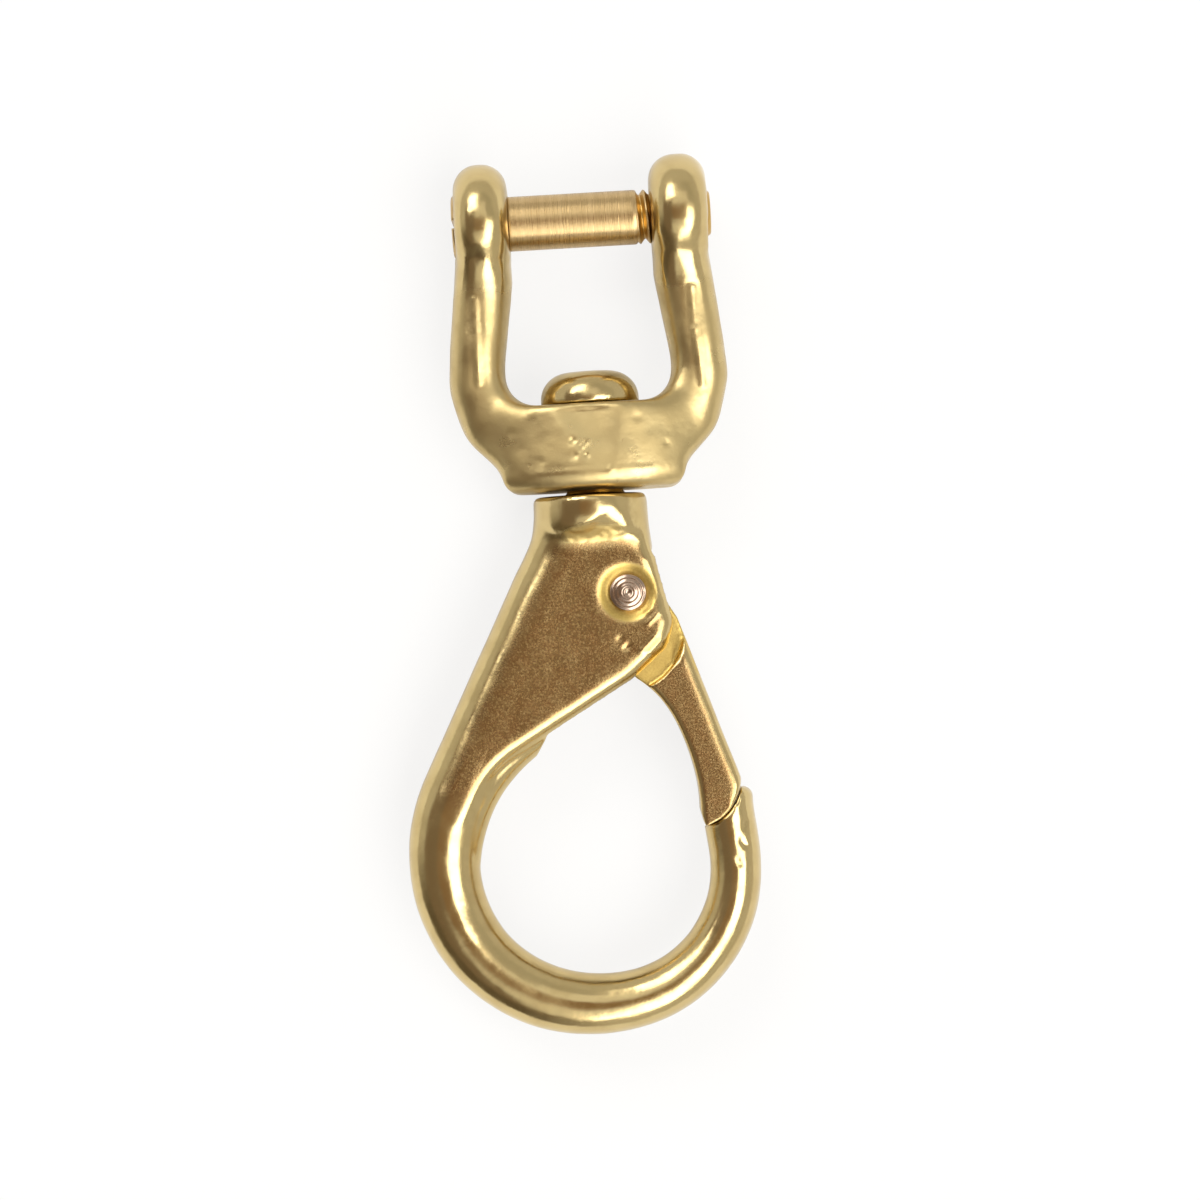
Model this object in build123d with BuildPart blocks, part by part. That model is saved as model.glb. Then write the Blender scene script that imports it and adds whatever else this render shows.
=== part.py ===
from build123d import *

import math
import os

# Swivel shackle snap hook, cast brass, about 127 mm (5 in) long, lying on its side.
#
# X runs across the hook, Y along the swivel axis towards the shackle, Z up out of the
# flat front face. The origin is where the shackle pin's axis crosses the swivel axis.
# All sizes are in millimetres.

# ------------------------------------------------------------------------ fits
running_fit = 0.05           # radial clearance of everything that turns or slides

# ----------------------------------------------------------------- shackle pin
pin_radius = 3.95            # 5/16 in shank
thread_radius = 3.7          # plain stand-in at the pitch diameter of a 5/16-18 thread
thread_lead = 1.9            # thread seen between the shank's end and the right ear
tip_chamfer = 0.7
tip_stand_out = 0.5          # past the right ear
pin_head_radius = 4.6
pin_head_height = 2.3
pin_head_stand_out = 0.4     # past the left ear
pin_head_edge = 0.35
driver_slot_width = 1.2
driver_slot_depth = 1.0
undercut_width = 0.8         # relief just inside the left ear
undercut_depth = 0.25
undercut_show = 0.05         # of the relief outside the ear

# --------------------------------------------------------------------- shackle
ear_opening = 10.25          # from the swivel axis to the inner face of an ear
left_ear_thickness = 7.8
right_ear_thickness = 8.2
ear_radius = 8.8
ear_rim_radius = 3.6
ear_tail_length = 14.0
ear_tail_radius = 7.0
arm_depth = 9.2
arm_width = 8.05
arm_lean = 1.75              # how far the arms spread between ears and saddle
arm_lean_start = 8.5         # below the pin's axis, inside; the outside bends a little higher
arm_lean_rise = 3.0
arm_toe_height = 6.3         # the lean ends this far above the saddle inside
arm_toe_drop = 2.5           # and this much lower outside
arm_bend_radius = 12.0
arm_toe_radius = 8.0
arm_outer_edge_radius = 3.9
arm_inner_edge_radius = 1.5
saddle_depth = 26.8          # pin axis to the seat of the swivel head
saddle_corner_radius = 4.6
hip_drop = 4.0               # below the saddle, where the outside turns in towards the boss
hip_swell = 0.45
hip_inset = 2.1
hip_radius = 8.0
boss_height = 12.4
boss_half_depth = 9.5        # at its foot on the swivel axis, falling off into the arms
boss_taper = 0.15            # share of the depth that is gone at the top
boss_shoulder_x = 7.0
boss_shoulder_half_depth = 8.7
boss_shoulder_rise = 1.4     # above the saddle
boss_flank_x = 13.5
boss_flank_half_depth = 5.9
boss_flank_rise = 2.2
boss_end_x = 18.5
boss_end_half_depth = 3.2
boss_end_rise = 3.6
boss_edge_radius = 2.8
boss_saddle_edge_radius = 1.0
boss_corner_x = 12.7         # corner of the boss's foot, seen from the front
boss_corner_radius = 2.7
boss_waist_x = 13.5          # slight waist where the flanks run into the boss
boss_waist_height = 3.6
boss_waist_radius = 3.0

# ------------------------------------------------------------- swivel spindle
stem_radius = 4.05
swivel_head_radius = 7.1
swivel_head_height = 4.9
swivel_head_rim = 4.4        # height of the rim under the rounded corner's tangent
swivel_head_corner = 3.9
swivel_play = 0.1            # under the head
neck_gap = 0.6               # between the boss and the neck

# ------------------------------------------------------------------ hook body
body_depth = 9.9             # over the crests of the bar
panel_sink = 0.12            # the panel's flat faces lie this far below the crests
neck_radius = 8.2
neck_offset = 0.85           # the neck's middle lies left of the swivel axis
neck_drift = 0.45            # and moves further left down to the panel
neck_swell = 1.3
neck_straight = 1.8
neck_flare = 6.8             # length over which the round neck spreads into the panel
neck_foot_half_depth = 5.2
neck_foot_fullness = 0.2     # its foot is squarer on the gate's side
neck_edge_radius = 0.9
slope_top = 2.4              # the front slopes down to the panel from here, below the neck's top
slope_foot = 6.7
slope_foot_radius = 1.6
slope_edge_radius = 1.0
loop_x = -3.8                # middle of the loop, from the swivel axis
loop_drop = 52.5             # and from the neck's top
loop_radius = 21.0           # of the bar's centre line
loop_bulge = 0.8             # the bar runs wide of the circle at the lower right
spine_lean = 27.3            # degrees between the spine and the swivel axis
spine_set = 0.25             # the spine's middle line passes this far outside the circle
spine_width = 10.6
spine_length = 39.5
left_bar_width = 10.3
bottom_bar_width = 8.9
right_bar_width = 7.4
nose_depth = 8.2
nose_rise = 9.2              # straight run of the nose above the loop's middle
nose_lean = 0.35
nose_edge_radius = 1.5
cheek_edge_radius = 2.2
# Free edge of the cheeks: its start inside the bar's middle line, and how far up the loop.
cheek_root_inset = 3.2
cheek_root_up = 3.9
cheek_root_rise = 0.4
cheek_bend_inset = 7.8
cheek_bend_up = 13.5
cheek_bend_radius = 14.0
# Then its corners round the gate's pivot, from the pivot.
cheek_heel_out = 0.53
cheek_heel_down = 12.3
cheek_heel_radius = 8.0
cheek_corner_out = 5.33
cheek_corner_down = 8.2
cheek_side_out = 6.48
cheek_side_down = 4.6
cheek_corner_radius = 3.0
cheek_top_out = 3.53
cheek_top_up = 8.2
panel_top_drop = 6.6         # from the neck's top, hidden inside the neck
web_depth = 6.8              # rounded web between the loop and the gate slot
web_edge_radius = 3.0
web_bow = 0.3                # outside the loop's inner circle, halfway
web_tip_back = 1.5           # beyond the slot's end
web_tip_down = 2.6

# ----------------------------------------------------------------------- gate
pivot_x = 3.87
pivot_drop = 14.4            # from the neck's top
rivet_radius = 2.0
rivet_head_radius = 2.6
rivet_head_seat = 1.0        # below the panel's face
rivet_head_proud = 0.3
rivet_crown = 0.5
rivet_dimple_radius = 0.55
rivet_dimple_depth = 0.25
dish_radius = 4.1            # dished seat round each end of the rivet
dish_depth = 0.8
dish_floor = 0.6             # flat ring round the rivet's head
slot_width = 6.0
slot_end_out = 12.97         # where the slot runs out at the cheeks' lower edge, from the pivot
slot_end_down = 20.3
tongue_clearance = 0.1       # each side of the tongue
hub_radius = 5.0
hub_clearance = 0.6
gate_lean = 18.4             # degrees between the gate's outer edge and the swivel axis
gate_reach = 5.3             # from the pivot to the line of the outer edge
seat_radius = 7.5            # curved seat in the nose that the gate's tip closes on
seat_drop = 28.0             # middle of that curve, along the gate from the pivot
seat_inset = 1.5
seat_gap = 0.12
lever_depth = 8.8
lever_outer_radius = 1.4
lever_inner_radius = 0.8
shoulder_radius = 8.95       # the lever's thick part ends in an arc round the cheeks' corner
shoulder_inset = 2.8         # middle of that arc, from the pivot
shoulder_drop = 4.75
tongue_length = 16.0         # down from the pivot, into the lever
# Inner side of the lever: how far it stands out from the pivot's line, down the gate.
lever_root_side = 3.5
lever_root_down = 11.8
lever_upper_side = 0.95
lever_upper_down = 17.0
lever_waist_side = 0.25
lever_waist_down = 23.0
lever_lower_side = 0.75
lever_lower_down = 29.0
lever_foot_side = 1.85
lever_foot_down = 33.0
tip_side = 2.2

# -------------------------------------------------------------- torsion spring
wire_radius = 0.45
coil_pitch = 1.0
coil_whole_turns = 2
coil_clearance = 0.3         # between the rivet and the coil
fixed_leg = 9.0
moving_leg = 9.5
wire_sides = 8               # flats that stand in for the round wire
fixed_leg_splay = 15.5       # degrees between the fixed leg and the slot's back wall
groove_width = 4.6
groove_clearance = 0.35
leg_gap = 0.02               # between the moving leg and the groove's wall

os.makedirs("parts", exist_ok=True)

# Heights, planes and directions that several pieces share.
saddle_y = -saddle_depth
boss_foot_y = saddle_y - boss_height
neck_top_y = boss_foot_y - neck_gap
half_panel = body_depth / 2 - panel_sink
tongue_half = slot_width / 2 - tongue_clearance
left_ear_outside = -ear_opening - left_ear_thickness
right_ear_outside = ear_opening + right_ear_thickness
spine_along = Vector(0, -1).rotate(Axis.Z, -spine_lean)
spine_out = Vector(-1, 0).rotate(Axis.Z, -spine_lean)
loop_middle = Vector(loop_x, neck_top_y - loop_drop)
spine_foot = loop_middle + spine_out * (loop_radius + spine_set)
pivot = Vector(pivot_x, neck_top_y - pivot_drop)
gate_out = Vector(1, 0).rotate(Axis.Z, gate_lean)
gate_plane = Plane(origin=pivot, x_dir=gate_out, z_dir=(0, 0, 1))    # -y runs down the gate


# ==================================================================== shackle
# The yoke is a bar bent into a U: a front outline, extruded, with its edges rounded.
arm_outside_x = ear_opening + arm_width
arm_toe_y = saddle_y + arm_toe_height
hip_x = arm_outside_x + arm_lean + hip_swell
boss_waist_y = boss_foot_y + boss_waist_height
yoke_inside = [
    (ear_opening, 0, 0),
    (ear_opening, -arm_lean_start, arm_bend_radius),
    (ear_opening + arm_lean, arm_toe_y, arm_bend_radius),
    (ear_opening + arm_lean, saddle_y, saddle_corner_radius),
]
yoke_outside = [
    (boss_corner_x, boss_foot_y, boss_corner_radius),
    (boss_waist_x, boss_waist_y, boss_waist_radius),
    (hip_x - hip_inset, saddle_y - hip_drop, hip_radius),
    (hip_x, arm_toe_y - arm_toe_drop, arm_toe_radius),
    (arm_outside_x, -arm_lean_start + arm_lean_rise, arm_bend_radius),
    (arm_outside_x, 0, 0),
]


def mirrored(corners):
    """The same corners on the other side of the swivel axis, in the opposite order."""
    return [(-x, y, radius) for x, y, radius in reversed(corners)]


yoke_outline = yoke_inside + mirrored(yoke_inside) + mirrored(yoke_outside) + yoke_outside

with BuildSketch() as yoke_face:
    with BuildLine():
        FilletPolyline(
            [(x, y) for x, y, radius in yoke_outline],
            radius=[radius for x, y, radius in yoke_outline],
            close=True,
        )
    make_face()

with BuildPart() as yoke_bar:
    with BuildSketch():
        add(yoke_face.sketch)
        # Below the waist the boss is all there is.
        with Locations((0, boss_waist_y - boss_height / 2)):
            Rectangle(2 * hip_x, boss_height, mode=Mode.SUBTRACT)
    extrude(amount=arm_depth / 2, both=True)
    rims = yoke_bar.faces().filter_by(Plane.XY).edges().filter_by(lambda edge: edge.center().Y < -0.1)
    inner_rims = rims.filter_by(
        lambda edge: edge.center().Y > saddle_y - 0.1
        and abs(edge.center().X) < ear_opening + arm_lean + 0.1
    )
    outer_rims = rims.filter_by(
        lambda edge: edge.center().Y > boss_waist_y + 0.1
        and abs(edge.center().X) > ear_opening + arm_lean + 0.1
    )
    fillet(inner_rims, arm_inner_edge_radius)
    fillet(outer_rims, arm_outer_edge_radius)


def ear(inner_x, thickness):
    """Round ear on the pin's axis, with a tail that narrows into the leaning arm."""
    with BuildPart() as blank:
        with BuildSketch(Plane.YZ.offset(inner_x)) as outline:
            Circle(ear_radius)
            with Locations((-ear_tail_length / 2, 0)):
                Rectangle(ear_tail_length, arm_depth)
            crooks = outline.vertices().filter_by(
                lambda vertex: -ear_tail_length + 0.1 < vertex.X < -0.1
            )
            fillet(crooks, ear_tail_radius)
        extrude(amount=thickness)
        sides = blank.faces().filter_by(Axis.X).edges()
        fillet(sides.filter_by(lambda edge: edge.center().Y > -ear_tail_length + 0.1), ear_rim_radius)
        # The tail stays inside the front outline of the arm.
        with BuildSketch():
            add(yoke_face.sketch)
            with Locations((0, ear_radius)):
                Rectangle(2 * hip_x + 2, 2 * ear_radius + 2)
        extrude(amount=ear_radius + 1, both=True, mode=Mode.INTERSECT)
    return blank.part


left_ear = ear(left_ear_outside, left_ear_thickness)
right_ear = ear(ear_opening, right_ear_thickness)


# The boss is a cushion that swells out of the arms, trimmed to the yoke's front outline.
boss_sections = [
    (boss_end_x, boss_end_half_depth, boss_end_rise),
    (boss_flank_x, boss_flank_half_depth, boss_flank_rise),
    (boss_shoulder_x, boss_shoulder_half_depth, boss_shoulder_rise),
    (0, boss_half_depth, boss_shoulder_rise),
]
boss_sections += [(-x, half_depth, rise) for x, half_depth, rise in reversed(boss_sections[:-1])]
with BuildPart() as boss:
    for x, half_depth, rise in boss_sections:
        top_y = saddle_y + rise
        top_half_depth = half_depth * (1 - boss_taper)
        with BuildSketch(Plane.YZ.offset(x)):
            with BuildLine():
                FilletPolyline(
                    (boss_foot_y, -half_depth),
                    (boss_foot_y, half_depth),
                    (top_y, top_half_depth),
                    (top_y, -top_half_depth),
                    radius=boss_edge_radius,
                    close=True,
                )
            make_face()
    loft()
    with BuildSketch():
        add(yoke_face.sketch)
    extrude(amount=boss_half_depth + 1, both=True, mode=Mode.INTERSECT)
    saddle_rims = boss.edges().filter_by(
        lambda edge: edge.center().Y > saddle_y - 0.1
        and abs(edge.center().X) < ear_opening + arm_lean
        and abs(edge.center().Z) > 0.1
    )
    fillet(saddle_rims, boss_saddle_edge_radius)

with BuildPart() as shackle:
    add(yoke_bar.part)
    add(left_ear)
    add(right_ear)
    add(boss.part)
    # Bore for the swivel stem, through the boss.
    with BuildSketch(Plane.XZ.offset(-saddle_y - 1)):
        Circle(stem_radius + running_fit)
    extrude(amount=boss_height + 2, mode=Mode.SUBTRACT)
    # Bore and counterbore for the pin's shank and head, left ear.
    with BuildSketch(Plane.YZ.offset(left_ear_outside - 1)):
        Circle(pin_radius + running_fit)
    extrude(amount=left_ear_thickness + 2, mode=Mode.SUBTRACT)
    with BuildSketch(Plane.YZ.offset(left_ear_outside - 1)):
        Circle(pin_head_radius + running_fit)
    extrude(amount=pin_head_height - pin_head_stand_out + 1, mode=Mode.SUBTRACT)
    # Threaded bore, right ear.
    with BuildSketch(Plane.YZ.offset(ear_opening - 1)):
        Circle(thread_radius + running_fit)
    extrude(amount=right_ear_thickness + 2, mode=Mode.SUBTRACT)
shackle.part.label = "shackle"
export_step(shackle.part, "parts/shackle.step")


# ================================================================ shackle pin
def turned(profile_corners):
    """Solid of revolution about the pin's axis (X) from (position, radius) corners."""
    with BuildPart() as piece:
        with BuildSketch():
            with BuildLine():
                Polyline(*profile_corners, close=True)
            make_face()
        revolve(axis=Axis.X)
    return piece.part


head_underside = left_ear_outside - pin_head_stand_out + pin_head_height
undercut_end = -ear_opening + undercut_show
undercut_start = undercut_end - undercut_width
shank_end = ear_opening - thread_lead
pin_tip = right_ear_outside + tip_stand_out
pin_profile = [
    (head_underside - pin_head_height, 0),
    (head_underside - pin_head_height, pin_head_radius - pin_head_edge),
    (head_underside - pin_head_height + pin_head_edge, pin_head_radius),
    (head_underside, pin_head_radius),
    (head_underside, pin_radius),
    (undercut_start, pin_radius),
    (undercut_start, pin_radius - undercut_depth),
    (undercut_end, pin_radius - undercut_depth),
    (undercut_end, pin_radius),
    (shank_end, pin_radius),
    (shank_end, thread_radius),
    (pin_tip - tip_chamfer, thread_radius),
    (pin_tip, thread_radius - tip_chamfer),
    (pin_tip, 0),
]
with BuildPart() as shackle_pin:
    add(turned(pin_profile))
    with BuildSketch(Plane.YZ.offset(head_underside - pin_head_height)):
        Rectangle(2 * pin_head_radius + 1, driver_slot_width)
    extrude(amount=driver_slot_depth, mode=Mode.SUBTRACT)
shackle_pin.part.label = "shackle_pin"
export_step(shackle_pin.part, "parts/shackle_pin.step")


# ================================================================== hook body
# Spine, loop and nose are one round bar, lofted through sections square to its middle line.
spine_angle = 180 - spine_lean
loop_steps = 10


def along_bar(angle):
    """Section plane of the loop at an angle from +X, and the bar's width and depth there."""
    swing = math.radians(angle)
    outward = Vector(math.cos(swing), math.sin(swing))
    onward = Vector(-math.sin(swing), math.cos(swing))
    above = max(0.0, 180 - angle) / spine_lean
    reach = loop_radius + spine_set * above
    if angle > 270:
        reach += loop_bulge * math.sin(2 * (swing - 1.5 * math.pi))
    if angle < 180:
        width = left_bar_width + (spine_width - left_bar_width) * above
    elif angle < 270:
        width = left_bar_width + (bottom_bar_width - left_bar_width) * (angle - 180) / 90
    else:
        taper = ((360 - angle) / 90) ** 2
        width = right_bar_width + (bottom_bar_width - right_bar_width) * taper
    depth = body_depth + (nose_depth - body_depth) * max(0.0, angle - 180) / 180
    return Plane(origin=loop_middle + outward * reach, x_dir=outward, z_dir=onward), width, depth


def nose_section(rise):
    """Section of the straight nose, so far above the loop's middle."""
    origin = loop_middle + Vector(loop_radius - nose_lean * rise / nose_rise, rise)
    return Plane(origin=origin, x_dir=(1, 0, 0), z_dir=(0, 1, 0)), right_bar_width, nose_depth


def oval(width, depth):
    """Points of the bar's oval section, all sections started alike on the outer side."""
    turns = [math.radians(45 * step) for step in range(8)]
    return [(width / 2 * math.cos(turn), depth / 2 * math.sin(turn)) for turn in turns]


loop_angles = [spine_angle + (360 - spine_angle) * step / loop_steps for step in range(loop_steps)]
bar_sections = [along_bar(angle) for angle in loop_angles]
bar_sections += [nose_section(0), nose_section(nose_rise)]

with BuildPart() as bar:
    for plane, width, depth in bar_sections:
        with BuildSketch(plane):
            with BuildLine():
                Spline(oval(width, depth), periodic=True)
            make_face()
    loft()
    nose_cap = bar.faces().filter_by(Axis.Y).sort_by(Axis.X)[-1]
    fillet(nose_cap.edges(), nose_edge_radius)
    # The spine runs straight up from the loop into the neck.
    spine_root = bar.faces().sort_by_distance((spine_foot.X, spine_foot.Y, 0))[0]
    extrude(spine_root, amount=spine_length)

# The panel's outline: hidden corners inside the bar and the neck, then its free edge.
panel_top_y = neck_top_y - panel_top_drop
panel_inner_x = spine_foot.X + (panel_top_y - spine_foot.Y) * math.tan(math.radians(spine_lean))
cheek_root_y = loop_middle.Y + cheek_root_up
cheek_bend_y = loop_middle.Y + cheek_bend_up
cheek_outline = [
    (panel_inner_x, panel_top_y, 0),
    (spine_foot.X, spine_foot.Y, 0),
    (loop_middle.X - loop_radius, cheek_root_y - cheek_root_rise, 0),
    (loop_middle.X - loop_radius + cheek_root_inset, cheek_root_y, 0),
    (loop_middle.X - loop_radius + cheek_bend_inset, cheek_bend_y, cheek_bend_radius),
    (pivot.X + cheek_heel_out, pivot.Y - cheek_heel_down, cheek_heel_radius),
    (pivot.X + cheek_corner_out, pivot.Y - cheek_corner_down, cheek_corner_radius),
    (pivot.X + cheek_side_out, pivot.Y - cheek_side_down, cheek_corner_radius),
    (pivot.X + cheek_top_out, pivot.Y + cheek_top_up, 0),
]
with BuildSketch() as panel_outline:
    with BuildLine():
        FilletPolyline(
            [(x, y) for x, y, radius in cheek_outline],
            radius=[radius for x, y, radius in cheek_outline],
            close=True,
        )
    make_face()

with BuildPart() as panel:
    add(panel_outline.sketch)
    extrude(amount=half_panel, both=True)
    free_rims = panel.faces().filter_by(Plane.XY).edges().filter_by(
        lambda edge: (edge.center() - spine_foot).dot(-spine_out) > cheek_root_inset
        and edge.center().Y < panel_top_y - 1
    )
    fillet(free_rims, cheek_edge_radius)


def neck_section(share):
    """Points of the neck's section: 0 is its round top, 1 its foot, where it is the flattest."""
    half_width = neck_radius + neck_swell * share * share
    fall = share * share * (3 - 2 * share)
    half_depth = neck_radius + (neck_foot_half_depth - neck_radius) * fall
    middle = -neck_offset - neck_drift * share * share
    points = []
    for step in range(8):
        turn = math.radians(45 * step)
        fullness = 1 + neck_foot_fullness * share if step in (1, 7) else 1
        across = half_width * math.cos(turn) * fullness
        points.append((middle + across, half_depth * math.sin(turn) * fullness))
    return points


# What is cut from the neck's front: a slope that runs down into the panel's flat face.
slope_top_y = neck_top_y - slope_top
slope_foot_y = neck_top_y - slope_foot
slope_run = slope_top_y - slope_foot_y
slope_rise = neck_radius - half_panel
slope_profile = [
    (slope_foot_y - 2 * slope_run, half_panel, 0),
    (slope_foot_y, half_panel, slope_foot_radius),
    (slope_top_y + slope_run, half_panel + 2 * slope_rise, 0),
    (slope_foot_y - 2 * slope_run, half_panel + 2 * slope_rise, 0),
]
with BuildPart() as front_cut:
    with BuildSketch(Plane.YZ):
        with BuildLine():
            FilletPolyline(
                [(y, z) for y, z, radius in slope_profile],
                radius=[radius for y, z, radius in slope_profile],
                close=True,
            )
        make_face()
    extrude(amount=2 * neck_radius, both=True)

neck_shares = [0.0, 0.25, 0.5, 0.75, 1.0]
neck_levels = [(neck_top_y, 0.0)]
neck_levels += [(neck_top_y - neck_straight - share * neck_flare, share) for share in neck_shares]
with BuildPart() as neck:
    for y, share in neck_levels:
        with BuildSketch(Plane.XZ.offset(-y)):
            with BuildLine():
                Spline(neck_section(share), periodic=True)
            make_face()
    loft()
    fillet(neck.edges().sort_by(Axis.Y)[-1], neck_edge_radius)
    add(front_cut.part, mode=Mode.SUBTRACT)
    add(mirror(front_cut.part, about=Plane.XY, mode=Mode.PRIVATE), mode=Mode.SUBTRACT)
    slope_rims = neck.edges().filter_by(
        lambda edge: slope_foot_y - 0.1 < edge.center().Y < slope_top_y + 0.1
        and abs(edge.center().Z) > half_panel - 0.1
    )
    fillet(slope_rims, slope_edge_radius)

swivel_seat_y = saddle_y + swivel_play
swivel_head_profile = [
    (0, swivel_seat_y, 0),
    (swivel_head_radius, swivel_seat_y, 0),
    (swivel_head_radius, swivel_seat_y + swivel_head_rim, swivel_head_corner),
    (0, swivel_seat_y + swivel_head_height, 0),
]
with BuildPart() as spindle:
    with BuildSketch():
        with BuildLine():
            FilletPolyline(
                [(x, y) for x, y, radius in swivel_head_profile],
                radius=[radius for x, y, radius in swivel_head_profile],
                close=True,
            )
        make_face()
    revolve(axis=Axis.Y)
    with BuildSketch(Plane.XZ.offset(-neck_top_y + 1)):
        Circle(stem_radius)
    extrude(amount=-(swivel_seat_y - neck_top_y + 2))

# Web that carries the loop's inner curve up to the end of the gate slot, at mid depth.
slot_end = pivot - Vector(slot_end_out, slot_end_down)
web_radius = loop_radius - left_bar_width / 2
web_start = loop_middle - Vector(web_radius, 0)
web_middle = loop_middle + Vector(web_bow - web_radius, 0).rotate(Axis.Z, spine_lean - 60)
web_tip = slot_end - Vector(web_tip_back, web_tip_down)
with BuildPart() as web:
    with BuildSketch():
        with BuildLine():
            ThreePointArc(web_start, web_middle, web_tip)
            Polyline(web_tip, slot_end, slot_end + Vector(0, 5), spine_foot, web_start)
        make_face()
    extrude(amount=web_depth / 2, both=True)
    web_rims = web.faces().filter_by(Plane.XY).edges().filter_by(GeomType.CIRCLE)
    fillet(web_rims, web_edge_radius)

# Gate slot between the cheeks: round over the hub, a straight back wall, open below.
slot_hub = hub_radius + hub_clearance
to_end = slot_end - pivot
wall_angle = math.degrees(math.atan2(to_end.Y, to_end.X) + math.asin(slot_hub / to_end.length))
wall_along = Vector(1, 0).rotate(Axis.Z, wall_angle)
wall_out = Vector(0, -1).rotate(Axis.Z, wall_angle)
wall_top = pivot + wall_out * slot_hub
with BuildPart() as slot_cutter:
    with BuildSketch():
        with Locations(pivot):
            Circle(slot_hub)
        with BuildLine():
            Polyline(
                pivot + Vector(0, slot_hub),
                pivot + Vector(slot_hub + 6, slot_hub),
                (pivot_x + slot_hub + 6, slot_end.Y - 1),
                slot_end + wall_along,
                wall_top,
                pivot,
                close=True,
            )
        make_face()
    extrude(amount=slot_width / 2, both=True)

# Seat of the rivet in each face: a wide dish round a small counterbore, and the bore.
dish_profile = [
    (0, 0),
    (rivet_radius + running_fit, 0),
    (rivet_radius + running_fit, half_panel - rivet_head_seat),
    (rivet_head_radius + running_fit, half_panel - rivet_head_seat),
    (rivet_head_radius + running_fit, half_panel - dish_depth),
    (rivet_head_radius + dish_floor, half_panel - dish_depth),
    (dish_radius, half_panel),
    (dish_radius + 0.1, half_panel + 1),
    (0, half_panel + 1),
]


def turned_on_pivot(profile):
    """Solid of revolution about the gate's pivot from (radius, height) corners."""
    with BuildPart() as piece:
        with BuildSketch(Plane(origin=pivot, x_dir=(1, 0, 0), z_dir=(0, -1, 0))):
            with BuildLine():
                Polyline(*profile, close=True)
            make_face()
        revolve(axis=Axis(pivot, (0, 0, 1)))
    return piece.part


dish = turned_on_pivot(dish_profile)

with BuildPart() as hook_body:
    add(bar.part)
    add(panel.part)
    add(web.part)
    add(neck.part)
    add(spindle.part)
    add(slot_cutter.part, mode=Mode.SUBTRACT)
    add(dish, mode=Mode.SUBTRACT)
    add(mirror(dish, about=Plane.XY, mode=Mode.PRIVATE), mode=Mode.SUBTRACT)
    # Curved seat for the gate's tip, cut into the nose.
    with BuildSketch(gate_plane):
        with Locations((-seat_inset, -seat_drop)):
            Circle(seat_radius)
    extrude(amount=nose_depth, both=True, mode=Mode.SUBTRACT)
hook_body.part.label = "hook_body"
export_step(hook_body.part, "parts/hook_body.step")


# ================================================================ gate rivet
rivet_crest = half_panel + rivet_head_proud
rivet_head_foot = half_panel - rivet_head_seat
with BuildPart() as gate_rivet:
    with BuildSketch(Plane(origin=pivot, x_dir=(1, 0, 0), z_dir=(0, -1, 0))):
        with BuildLine():
            shank = Polyline(
                (0, 0),
                (rivet_radius, 0),
                (rivet_radius, rivet_head_foot),
                (rivet_head_radius, rivet_head_foot),
                (rivet_head_radius, rivet_crest - rivet_crown),
            )
            crown = ThreePointArc(
                shank @ 1,
                (0.75 * rivet_head_radius, rivet_crest - 0.3 * rivet_crown),
                (rivet_dimple_radius, rivet_crest),
            )
            Polyline(crown @ 1, (0, rivet_crest - rivet_dimple_depth), (0, 0))
        make_face()
    revolve(axis=Axis(pivot, (0, 0, 1)))
    mirror(about=Plane.XY)
gate_rivet.part.label = "gate_rivet"
export_step(gate_rivet.part, "parts/gate_rivet.step")


# ======================================================================= gate
# Outline in the gate's own plane: the hub at its origin, the lever running down -y.
lever_end = -seat_drop - seat_radius - 2
lever_inside = [
    (-lever_foot_side, -lever_foot_down),
    (-lever_lower_side, -lever_lower_down),
    (-lever_waist_side, -lever_waist_down),
    (-lever_upper_side, -lever_upper_down),
    (-lever_root_side, -lever_root_down),
]
with BuildSketch() as gate_outline:
    Circle(hub_radius)
    with BuildLine():
        Polyline(
            (0, hub_radius - 1),
            (hub_radius - 1, 0),
            (gate_reach, -hub_radius - 1),
            (gate_reach, lever_end),
            (-tip_side, lever_end),
            lever_inside[0],
        )
        Spline(*lever_inside)
        Polyline(lever_inside[-1], (-hub_radius, 0), (0, 0), (0, hub_radius - 1))
    make_face()
    # The tip is rounded to the nose's seat.
    with BuildSketch(mode=Mode.PRIVATE) as beyond_seat:
        with Locations((0, -seat_drop - seat_radius)):
            Rectangle(4 * seat_radius, 2 * seat_radius)
        with Locations((-seat_inset, -seat_drop)):
            Circle(seat_radius - seat_gap, mode=Mode.SUBTRACT)
    add(beyond_seat.sketch, mode=Mode.SUBTRACT)
gate_face = gate_plane.location * gate_outline.sketch
coil_radius = rivet_radius + coil_clearance + wire_radius
groove_radius = coil_radius + wire_radius + groove_clearance
groove_wall = coil_radius + wire_radius + leg_gap

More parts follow.
